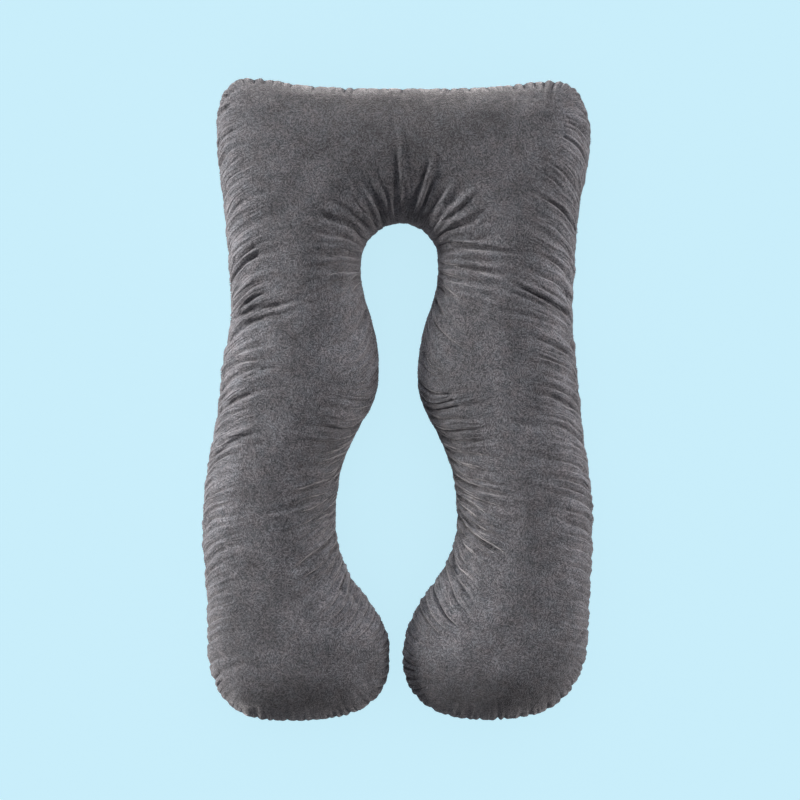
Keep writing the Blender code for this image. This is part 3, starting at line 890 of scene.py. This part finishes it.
def settle_cloth(pillow, info, sizes):
    """Lets the cover's cloth give and buckle under the pressure of its fill."""
    started = time.time()
    mesh = pillow.data
    before = coordinates(mesh)
    pins = pillow.vertex_groups.new(name="pinned")
    pins.add([int(i) for i in np.flatnonzero(info["pinned"])], 1.0, "REPLACE")
    excess = pillow.vertex_groups.new(name="excess")
    near = np.exp(-((info["climb"] / 90) ** 2))
    for i in np.flatnonzero(near > 0.02):
        excess.add([int(i)], float(near[i]), "REPLACE")
    cloth = pillow.modifiers.new("cloth", "CLOTH")
    # A stretchy knitted velour: it gives, bends easily and comes to rest soon.
    for name, value in dict(
        quality=6, mass=0.25,
        tension_stiffness=25, compression_stiffness=25, shear_stiffness=10,
        bending_stiffness=0.15,
        tension_damping=12, compression_damping=12, shear_damping=12, bending_damping=1,
        air_damping=3, use_pressure=True, uniform_pressure_force=sizes.pressure,
        vertex_group_mass="pinned", pin_stiffness=1,
        vertex_group_shrink="excess", shrink_min=0.0, shrink_max=-sizes.excess,
    ).items():
        setattr(cloth.settings, name, value)
    cloth.settings.effector_weights.gravity = 0
    cloth.collision_settings.use_collision = False
    cloth.point_cache.frame_start = 1
    cloth.point_cache.frame_end = sizes.frames
    scene = bpy.context.scene
    scene.frame_start, scene.frame_end = 1, sizes.frames
    for current in range(1, sizes.frames + 1):
        scene.frame_set(current)
    evaluated = pillow.evaluated_get(bpy.context.evaluated_depsgraph_get())
    after = coordinates(evaluated.to_mesh())
    evaluated.to_mesh_clear()
    pillow.modifiers.remove(cloth)
    pillow.vertex_groups.clear()
    scene.frame_set(1)
    move = after - before
    size = np.linalg.norm(move, axis=1)
    cap = sizes.most_give
    move *= (cap * np.tanh(size / cap) / np.maximum(size, 1e-9))[:, None]
    mesh.vertices.foreach_set("co", (before + move).astype(np.float32).ravel())
    mesh.update()
    print(f"cloth: {len(before)} points, {time.time() - started:.1f} s, moved "
          f"{size.mean() / MM:.1f} mm on average, {size.max() / MM:.1f} mm at most")


# ---------------------------------------------------------------- materials

def linear(colour):
    """An sRGB hex colour as the linear one that Blender takes."""
    channels = [int(colour[i : i + 2], 16) / 255 for i in (0, 2, 4)]
    return (*[c / 12.92 if c <= 0.04045 else ((c + 0.055) / 1.055) ** 2.4 for c in channels], 1)


NEUTRAL = linear("f0eef2")


def add_node(tree, kind, settings=None, **inputs):
    """Adds a node with its settings, and links or sets its inputs by name, or number as _0."""
    node = tree.nodes.new(kind)
    for name, value in (settings or {}).items():
        setattr(node, name, value)
    for name, value in inputs.items():
        name = name.replace("_", " ")
        socket = node.inputs[int(name) if name.strip().isdigit() else name]
        if isinstance(value, bpy.types.NodeSocket):
            tree.links.new(value, socket)
        else:
            socket.default_value = value
    return node


# Node settings that come up more than once.
TIMES = {"operation": "MULTIPLY"}
SMOOTH = {"interpolation_type": "SMOOTHSTEP"}
SPHERE = {"gradient_type": "SPHERICAL"}
COLOURS = {"data_type": "RGBA"}
TINT = {"data_type": "RGBA", "blend_type": "MULTIPLY"}


def named_material(name, roughness, specular):
    """A new material, its node tree and its shader, matt or smooth all over."""
    material = bpy.data.materials.new(name)
    material.use_nodes = True
    shader = material.node_tree.nodes["Principled BSDF"]
    shader.inputs["Roughness"].default_value = roughness
    shader.inputs["Specular IOR Level"].default_value = specular
    return material, material.node_tree, shader


def painted_light_tone(tree, place):
    """A tone over the whole cover: painted light and shade from the patches of the table."""
    tone = None
    # Each patch is a soft oval of painted light or painted shade, and its tone scales the colour.
    for light_patch in PAINTED_LIGHT_PATCHES:
        near = add_node(
            tree, "ShaderNodeMapping", None, Vector=place,
            Scale=(1 / (light_patch.across * MM), 1 / (light_patch.along * MM), 0),
            Location=(-light_patch.x / light_patch.across, -light_patch.y / light_patch.along, 0)).outputs[0]
        patch = add_node(tree, "ShaderNodeTexGradient", SPHERE, Vector=near).outputs["Fac"]
        share = add_node(
            tree, "ShaderNodeMapRange", SMOOTH, Value=patch, From_Max=0.6, To_Min=1,
            To_Max=light_patch.tone).outputs[0]
        if tone is not None:
            share = add_node(tree, "ShaderNodeMath", TIMES, _0=tone, _1=share).outputs[0]
        tone = share
    return tone


def velour_material(look):
    """Cut-pile polyester velour, knitted, sheared and piece-dyed.

    Its standing pile takes the light in, so it is matt and deep, with a pale sheen where it
    is seen along the surface, and it lies over in flecks, lighter and darker.
    """
    material, tree, shader = named_material("grey_velour", roughness=0.95, specular=0.2)
    shader.inputs["Metallic"].default_value = 0
    shader.inputs["Sheen Weight"].default_value = look.sheen
    shader.inputs["Sheen Roughness"].default_value = 0.42
    shader.inputs["Sheen Tint"].default_value = linear("d4d2d6")
    place = add_node(tree, "ShaderNodeTexCoord").outputs["Object"]
    # The pile lies over in tufts of 10 to 20 mm, each combed its own way, so its strokes are a
    # stretched noise that turns from tuft to tuft. Real pile is 1 to 2 mm long, too fine to
    # show, so the strokes are drawn about four times coarser.
    tufts = add_node(
        tree, "ShaderNodeTexVoronoi", {"feature": "F1"}, Vector=place,
        Scale=1 / look.tuft_size).outputs["Color"]
    chance = add_node(tree, "ShaderNodeSeparateColor", None, Color=tufts).outputs[0]
    turn = add_node(tree, "ShaderNodeMath", TIMES, _0=chance, _1=2 * math.pi).outputs[0]
    combed = add_node(
        tree, "ShaderNodeVectorRotate", {"rotation_type": "Z_AXIS"}, Vector=place,
        Angle=turn).outputs[0]
    drawn = add_node(
        tree, "ShaderNodeMapping", None, Vector=combed, Scale=(1, 3, 1.5)).outputs[0]
    strokes = add_node(
        tree, "ShaderNodeTexNoise", None, Vector=drawn, Scale=1 / look.stroke_size,
        Detail=1.5, Roughness=0.6, Distortion=0.6).outputs["Fac"]
    light = add_node(
        tree, "ShaderNodeMapRange", SMOOTH, Value=strokes, From_Min=0.36,
        From_Max=0.69).outputs[0]
    colour = add_node(
        tree, "ShaderNodeMix", COLOURS, _0=light, _6=look.dark, _7=look.light).outputs[2]
    # Hands and folding have brushed the pile into cloudy patches about 60 mm wide, lighter
    # and darker, on top of the larger patches of painted light and shade from the table.
    clouds = add_node(
        tree, "ShaderNodeTexNoise", None, Vector=place, Scale=17.0, Detail=4.0,
        Roughness=0.62).outputs["Fac"]
    tone = add_node(
        tree, "ShaderNodeMapRange", None, Value=clouds, From_Min=0.25, From_Max=0.75,
        To_Min=0.69, To_Max=1.31).outputs[0]
    # Painted light and shade: the patches of the table make the colour lighter or darker where the
    # light falls more or less.
    tone = add_node(tree, "ShaderNodeMath", TIMES, _0=tone, _1=painted_light_tone(tree, place)).outputs[0]
    # The dye took a little warmer and colder, in patches about 25 mm wide.
    tint = add_node(
        tree, "ShaderNodeTexNoise", None, Vector=place, Scale=40.0, Detail=2.0,
        Roughness=0.6).outputs["Fac"]
    warm = add_node(
        tree, "ShaderNodeMix", COLOURS, _0=tint, _6=(0.90, 1.00, 1.04, 1),
        _7=(1.10, 1.00, 0.97, 1)).outputs[2]
    shade = add_node(tree, "ShaderNodeMix", TINT, _0=1.0, _6=warm, _7=tone).outputs[2]
    toned = add_node(tree, "ShaderNodeMix", TINT, _0=1.0, _6=colour, _7=shade).outputs[2]
    tree.links.new(toned, shader.inputs["Base Color"])
    pile = add_node(
        tree, "ShaderNodeBump", None, Height=strokes, Strength=look.bump,
        Distance=look.stroke_size).outputs["Normal"]
    # Fine gathers run up from the seam: a ridged noise, long the way that the puckers go, which
    # reads the place of the cloth along the seam and fades as the pull of the seam does.
    weave = add_node(tree, "ShaderNodeAttribute", {"attribute_name": "weave"}).outputs["Vector"]
    pull = add_node(tree, "ShaderNodeAttribute", {"attribute_name": "pull"}).outputs["Fac"]
    along = add_node(
        tree, "ShaderNodeMapping", None, Vector=weave, Scale=(1, 1, 0.16)).outputs[0]
    gathers = add_node(
        tree, "ShaderNodeTexNoise", None, Vector=along, Scale=1 / look.gather_size,
        Detail=1.0, Roughness=0.5).outputs["Fac"]
    ridged = add_node(
        tree, "ShaderNodeMath", {"operation": "SUBTRACT"}, _0=gathers, _1=0.5).outputs[0]
    folded = add_node(tree, "ShaderNodeMath", {"operation": "ABSOLUTE"}, _0=ridged).outputs[0]
    pulled = add_node(tree, "ShaderNodeMath", TIMES, _0=folded, _1=pull).outputs[0]
    creased = add_node(
        tree, "ShaderNodeBump", None, Height=pulled, Strength=look.gather_bump,
        Distance=look.gather_size * 2, Normal=pile).outputs["Normal"]
    tree.links.new(creased, shader.inputs["Normal"])
    return material


def thread_material():
    """Spun polyester sewing thread, dyed to match: a little darker and smoother than the pile.

    Its plies show as fine slanting bands. They are 0.3 mm apart in real thread, too fine to
    show, so they are drawn a few times coarser.
    """
    material, tree, shader = named_material("polyester_thread", roughness=0.55, specular=0.4)
    place = add_node(tree, "ShaderNodeTexCoord").outputs["Object"]
    plies = add_node(
        tree, "ShaderNodeTexWave", {"bands_direction": "DIAGONAL"}, Vector=place,
        Scale=700.0).outputs["Fac"]
    colour = add_node(
        tree, "ShaderNodeMix", COLOURS, _0=plies, _6=linear("2c2b2e"),
        _7=linear("47454a")).outputs[2]
    tree.links.new(colour, shader.inputs["Base Color"])
    return material


def camera_or_light(tree, for_light, for_camera):
    """A colour that is one for the camera and another for the light that it gives, and which."""
    seen = add_node(tree, "ShaderNodeLightPath").outputs["Is Camera Ray"]
    hue = add_node(tree, "ShaderNodeMix", COLOURS, _0=seen, _6=for_light, _7=for_camera)
    return hue.outputs[2], seen


def paper_material(look):
    """Matt background paper on a lit table: pale and even, with no gloss."""
    material, tree, shader = named_material("lit_paper", roughness=0.9, specular=0.0)
    shader.inputs["Base Color"].default_value = look.paper
    # The table's lamps are baffled, so that it looks bright from above and lights little.
    hue, seen = camera_or_light(tree, NEUTRAL, look.glow_colour)
    glow = add_node(
        tree, "ShaderNodeMapRange", None, Value=seen, To_Min=look.glow * look.spill,
        To_Max=look.glow).outputs[0]
    tree.links.new(glow, shader.inputs["Emission Strength"])
    tree.links.new(hue, shader.inputs["Emission Color"])
    return material


def studio_world(look):
    """Even light from all round, which the camera sees as the paper's own pale blue."""
    world = bpy.data.worlds.new("studio")
    world.use_nodes = True
    tree = world.node_tree
    studio = tree.nodes["Background"].inputs
    hue, seen = camera_or_light(tree, NEUTRAL, linear("cdf0fb"))
    tree.links.new(hue, studio["Color"])
    power = add_node(tree, "ShaderNodeMapRange", None, Value=seen, To_Min=look.sky, To_Max=1)
    tree.links.new(power.outputs[0], studio["Strength"])
    return world


# ---------------------------------------------------------------- the stitches

def stitch_tree():
    """Nodes that lay one thread bead at every pitch along a line, turned the way it runs."""
    tree = bpy.data.node_groups.new("waist_stitches", "GeometryNodeTree")
    tree.interface.new_socket("Seam", in_out="INPUT", socket_type="NodeSocketGeometry")
    for name in ("Pitch", "Length", "Thickness"):
        size = tree.interface.new_socket(name, in_out="INPUT", socket_type="NodeSocketFloat")
        size.subtype = "DISTANCE"
    tree.interface.new_socket("Thread", in_out="INPUT", socket_type="NodeSocketMaterial")
    tree.interface.new_socket("Stitches", in_out="OUTPUT", socket_type="NodeSocketGeometry")
    given = add_node(tree, "NodeGroupInput").outputs
    line = add_node(tree, "GeometryNodeMeshToCurve", None, Mesh=given["Seam"]).outputs[0]
    spots = add_node(
        tree, "GeometryNodeResampleCurve", {"mode": "LENGTH"}, Curve=line,
        Length=given["Pitch"]).outputs[0]
    heading = add_node(tree, "GeometryNodeInputTangent").outputs[0]
    turn = add_node(
        tree, "FunctionNodeAlignRotationToVector", {"axis": "X"}, Vector=heading).outputs[0]
    # No two stitches draw up quite alike.
    slack = add_node(
        tree, "FunctionNodeRandomValue", {"data_type": "FLOAT"}, _2=0.85, _3=1.1,
        Seed=5).outputs[1]
    long = add_node(tree, "ShaderNodeMath", TIMES, _0=given["Length"], _1=slack).outputs[0]
    size = add_node(
        tree, "ShaderNodeCombineXYZ", None, X=long, Y=given["Thickness"],
        Z=given["Thickness"]).outputs[0]
    bead = add_node(
        tree, "GeometryNodeMeshIcoSphere", None, Radius=0.5, Subdivisions=1).outputs[0]
    laid = add_node(
        tree, "GeometryNodeInstanceOnPoints", None, Points=spots, Instance=bead,
        Rotation=turn, Scale=size).outputs[0]
    whole = add_node(tree, "GeometryNodeRealizeInstances", None, Geometry=laid).outputs[0]
    rounded = add_node(tree, "GeometryNodeSetShadeSmooth", None, Geometry=whole).outputs[0]
    sewn = add_node(
        tree, "GeometryNodeSetMaterial", None, Geometry=rounded,
        Material=given["Thread"]).outputs[0]
    add_node(tree, "NodeGroupOutput", None, Stitches=sewn)
    return tree


def grown(name, mesh, tree, values):
    """A plain mesh object of what a node tree grows from a mesh, with the tree's inputs set."""
    piece = bpy.data.objects.new(name, mesh)
    bpy.context.scene.collection.objects.link(piece)
    modifier = piece.modifiers.new(name, "NODES")
    modifier.node_group = tree
    for item in tree.interface.items_tree:
        if item.in_out == "INPUT" and item.name in values:
            modifier[item.identifier] = values[item.name]
    evaluated = piece.evaluated_get(bpy.context.evaluated_depsgraph_get())
    result = bpy.data.meshes.new_from_object(evaluated)
    piece.modifiers.remove(modifier)
    piece.data = result
    result.name = name
    return piece


# ---------------------------------------------------------------- the add-on

def a_length(name, description, default, low, high):
    """A property that holds a length in metres."""
    return bpy.props.FloatProperty(
        name=name, description=description, default=default, min=low, max=high,
        subtype="DISTANCE", unit="LENGTH")


def a_share(name, description, default, high):
    """A property that holds a share of something, or a strength where 1 is whole."""
    return bpy.props.FloatProperty(
        name=name, description=description, default=default, min=0, max=high, subtype="FACTOR")


def a_colour(name, description, default):
    """A property that holds a colour, its default an sRGB hex value."""
    return bpy.props.FloatVectorProperty(
        name=name, description=description, default=linear(default), min=0, max=1, size=4,
        subtype="COLOR")


def a_number(name, description, default, high):
    """A property that holds a plain number from 0 up, such as a light's strength."""
    return bpy.props.FloatProperty(
        name=name, description=description, default=default, min=0, max=high)


class PillowSizes(bpy.types.PropertyGroup):
    seam_height: a_length(
        "Seam height", "Height of the waist seam over the floor", 0.088, 0.02, 0.3)
    seam_outset: a_length(
        "Seam outset", "How far the seam lies outside the solid's", 0.0015, -0.01, 0.01)
    crown: a_length(
        "Crown", "Height of the fullest place over the seam", 0.105, 0.02, 0.3)
    belly: a_length(
        "Belly", "How far the fill would hang below the seam", 0.112, 0.02, 0.3)
    full_span: a_length(
        "Full span", "Half width at which the fill reaches its crown", 0.17, 0.05, 0.5)
    shoulder: bpy.props.FloatProperty(
        name="Shoulder", description="How slowly the fill rises from the seam", default=1.15,
        min=0.5, max=2)
    cloth_step: a_length(
        "Cloth step", "Spacing of the front panel's points", 0.005, 0.003, 0.03)
    pucker_height: a_share("Puckers", "Height of the seam's puckers, as a share", 0.92, 3)
    seam_groove: a_length("Seam groove", "How deep the waist seam is drawn in", 0.0025, 0, 0.01)
    lump_height: a_share("Lumps", "Unevenness of the fill, as a share", 1.0, 3)
    crease_depth: a_share("Creases", "Depth of the creases, as a share", 1.0, 3)
    pressure: a_number("Pressure", "Push of the fill against the cover", 4.0, 20)
    excess: a_share("Excess cloth", "Share by which the seam gathers the cloth in", 0.08, 0.5)
    most_give: a_length("Most give", "Furthest that the cloth may settle", 0.012, 0.001, 0.1)
    frames: bpy.props.IntProperty(
        name="Steps", description="Steps for which the cloth settles", default=14, min=2, max=60)


class StitchSizes(bpy.types.PropertyGroup):
    pitch: a_length("Pitch", "Distance from stitch to stitch along the seam", 0.0036, 0.001, 0.02)
    length: a_length("Length", "Length of the thread that shows in each stitch", 0.003, 0.0005, 0.02)
    thickness: a_length("Thickness", "Thickness of the thread", 0.0009, 0.0002, 0.005)


class VelourLook(bpy.types.PropertyGroup):
    dark: a_colour("Dark pile", "Colour of the pile that lies away from the light", "37383c")
    light: a_colour("Light pile", "Colour of the pile that leans to the light", "6f6f74")
    sheen: a_share("Sheen", "Weight of the pile's sheen", 0.8, 1)
    tuft_size: a_length("Tuft size", "Size of the tufts that lie one way", 0.011, 0.001, 0.05)
    stroke_size: a_length("Stroke size", "Length of the strokes of pile", 0.0058, 0.001, 0.05)
    bump: a_share("Pile relief", "Strength of the pile's relief", 0.5, 1)
    gather_size: a_length("Gather size", "Spacing of the finest gathers", 0.011, 0.001, 0.05)
    gather_bump: a_share("Gather relief", "Strength of the finest gathers", 0.8, 1)


class StageLook(bpy.types.PropertyGroup):
    paper: a_colour("Paper", "Colour of the paper", "80969c")
    glow_colour: a_colour("Glow colour", "Colour of the light that shines through it", "ccf2ff")
    glow: a_number("Glow", "Strength of the lit paper", 0.874, 5)
    spill: a_share("Spill", "Share of the paper's light that reaches the pillow", 0.6, 1)
    sky: a_number("Fill light", "Strength of the light from all round", 0.3, 5)
    left: a_number("Left light", "Strength of the light from the left", 6.9, 20)
    right: a_number("Right light", "Strength of the light from the right", 3.1, 20)
    head: a_number("Head light", "Strength of the light from the head", 1.1, 20)
    camera_height: a_length("Camera height", "Height of the camera over the seam", 4.5, 1, 20)
    view_width: a_length("View width", "Width that the picture takes in", 1.804, 0.1, 20)


class BODYPILLOW_OT_fill(bpy.types.Operator):
    """Sew the two panels, fill the cover, settle its cloth and lay its creases"""
    bl_idname = "bodypillow.fill"
    bl_label = "Sew and fill the pillow"

    def execute(self, context):
        sizes = context.scene.pillow_sizes
        started = time.time()
        seam = Seam(frame["nodes"]["pillow"], sizes)
        points, triangles, info = pillow_shape(seam, sizes)
        print(f"shape: {len(points)} points, {len(triangles)} triangles, {time.time() - started:.1f} s")
        mesh = mesh_of("velour_pillow", points, triangles)
        give(mesh, "weave", "FLOAT_VECTOR", info["weave"])
        give(mesh, "pull", "FLOAT", info["pull"])
        pillow = bpy.data.objects.new("velour_pillow", mesh)
        pillow["seam_points"] = info["rim"]
        context.scene.collection.objects.link(pillow)
        settle_cloth(pillow, info, sizes)
        cloth = coordinates(mesh)
        front = slice(info["front"])
        relief = crease_relief(info["plan"][front]) * sizes.crease_depth
        relief *= smooth(info["climb"][front], *CREASE_FADE)
        cloth[front] += vertex_normals(cloth, triangles)[front] * (relief * MM)[:, None]
        mesh.vertices.foreach_set("co", cloth.astype(np.float32).ravel())
        mesh.update()
        mesh.materials.append(velour_material(context.scene.velour_look))
        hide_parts("pillow")
        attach(pillow, "root")
        print(f"pillow: {time.time() - started:.1f} s")
        return {"FINISHED"}


class BODYPILLOW_OT_sew(bpy.types.Operator):
    """Sew thread stitches along the waist seam, at the bottom of its groove"""
    bl_idname = "bodypillow.sew"
    bl_label = "Stitch the waist seam"

    def execute(self, context):
        sizes = context.scene.stitch_sizes
        pillow = bpy.data.objects.get("velour_pillow")
        if pillow is None:
            raise RuntimeError("The pillow is sewn and filled before its seam is stitched")
        count = pillow["seam_points"]
        line = [vert.co for vert in pillow.data.vertices[:count]]
        mesh = bpy.data.meshes.new("waist_stitches")
        mesh.from_pydata(line, [(i, (i + 1) % count) for i in range(count)], [])
        stitches = grown("waist_stitches", mesh, stitch_tree(), {
            "Pitch": sizes.pitch, "Length": sizes.length, "Thickness": sizes.thickness,
            "Thread": thread_material(),
        })
        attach(stitches, "root")
        print(f"stitches: {len(stitches.data.polygons)} triangles")
        return {"FINISHED"}


class BODYPILLOW_OT_stage(bpy.types.Operator):
    """Set the floor, the soft studio light and the camera straight above the pillow"""
    bl_idname = "bodypillow.stage"
    bl_label = "Set the stage"

    def execute(self, context):
        look = context.scene.stage_look
        scene = context.scene
        mesh = bpy.data.meshes.new("floor")
        reach = 60
        corners = [(x * reach, y * reach, 0) for x, y in ((-1, -1), (1, -1), (1, 1), (-1, 1))]
        mesh.from_pydata(corners, [], [range(4)])
        mesh.materials.append(paper_material(look))
        floor = bpy.data.objects.new("floor", mesh)
        scene.collection.objects.link(floor)
        scene.world = studio_world(look)
        lit = bpy.data.collections.new("lit_from_the_side")
        for piece in bpy.data.objects:
            if piece.type == "MESH" and not piece.hide_render and piece is not floor:
                lit.objects.link(piece)
        # Softboxes far off: their azimuth and elevation, and how wide they look, in degrees.
        for name, azimuth, elevation, spread, strength, white in (
            ("left_softbox", 161, 9, 16, look.left, "fffaf4"),
            ("right_softbox", 16, 20, 26, look.right, "fff8f2"),
            ("head_softbox", 100, 32, 22, look.head, "f8fbff"),
        ):
            data = bpy.data.lights.new(name, "SUN")
            data.angle = math.radians(spread)
            data.energy = strength
            data.color = linear(white)[:3]
            light = bpy.data.objects.new(name, data)
            a, e = math.radians(azimuth), math.radians(elevation)
            away = Vector((math.cos(a) * math.cos(e), math.sin(a) * math.cos(e), math.sin(e)))
            light.location = away * 3
            light.rotation_euler = (-away).to_track_quat("-Z", "Y").to_euler()
            scene.collection.objects.link(light)
            light.light_linking.receiver_collection = lit
        data = bpy.data.cameras.new("camera")
        data.sensor_width = 36
        data.lens = data.sensor_width * look.camera_height / look.view_width
        data.clip_end = 100
        camera = bpy.data.objects.new("camera", data)
        height = scene.pillow_sizes.seam_height + look.camera_height
        camera.location = (*VIEW_MIDDLE, height)
        scene.collection.objects.link(camera)
        scene.camera = camera
        scene.view_settings.view_transform = "Standard"
        return {"FINISHED"}


class BODYPILLOW_PT_panel(bpy.types.Panel):
    bl_idname = "BODYPILLOW_PT_panel"
    bl_label = "Body pillow"
    bl_space_type = "VIEW_3D"
    bl_region_type = "UI"
    bl_category = "Body pillow"

    def draw(self, context):
        scene = context.scene
        for group in (scene.pillow_sizes, scene.stitch_sizes, scene.velour_look, scene.stage_look):
            box = self.layout.box()
            for name in group.bl_rna.properties.keys():
                if name not in ("rna_type", "name"):
                    box.prop(group, name)
        for operator in (BODYPILLOW_OT_fill, BODYPILLOW_OT_sew, BODYPILLOW_OT_stage):
            self.layout.operator(operator.bl_idname)


CLASSES = (
    PillowSizes, StitchSizes, VelourLook, StageLook,
    BODYPILLOW_OT_fill, BODYPILLOW_OT_sew, BODYPILLOW_OT_stage, BODYPILLOW_PT_panel,
)


GROUPS = {
    "pillow_sizes": PillowSizes, "stitch_sizes": StitchSizes,
    "velour_look": VelourLook, "stage_look": StageLook,
}


def register():
    for cls in CLASSES:
        bpy.utils.register_class(cls)
    for name, group in GROUPS.items():
        setattr(bpy.types.Scene, name, bpy.props.PointerProperty(type=group))


def unregister():
    for name in GROUPS:
        delattr(bpy.types.Scene, name)
    for cls in reversed(CLASSES):
        bpy.utils.unregister_class(cls)


def main():
    register()
    bpy.ops.bodypillow.fill()
    bpy.ops.bodypillow.sew()
    bpy.ops.bodypillow.stage()


if __name__ == "__main__":
    main()
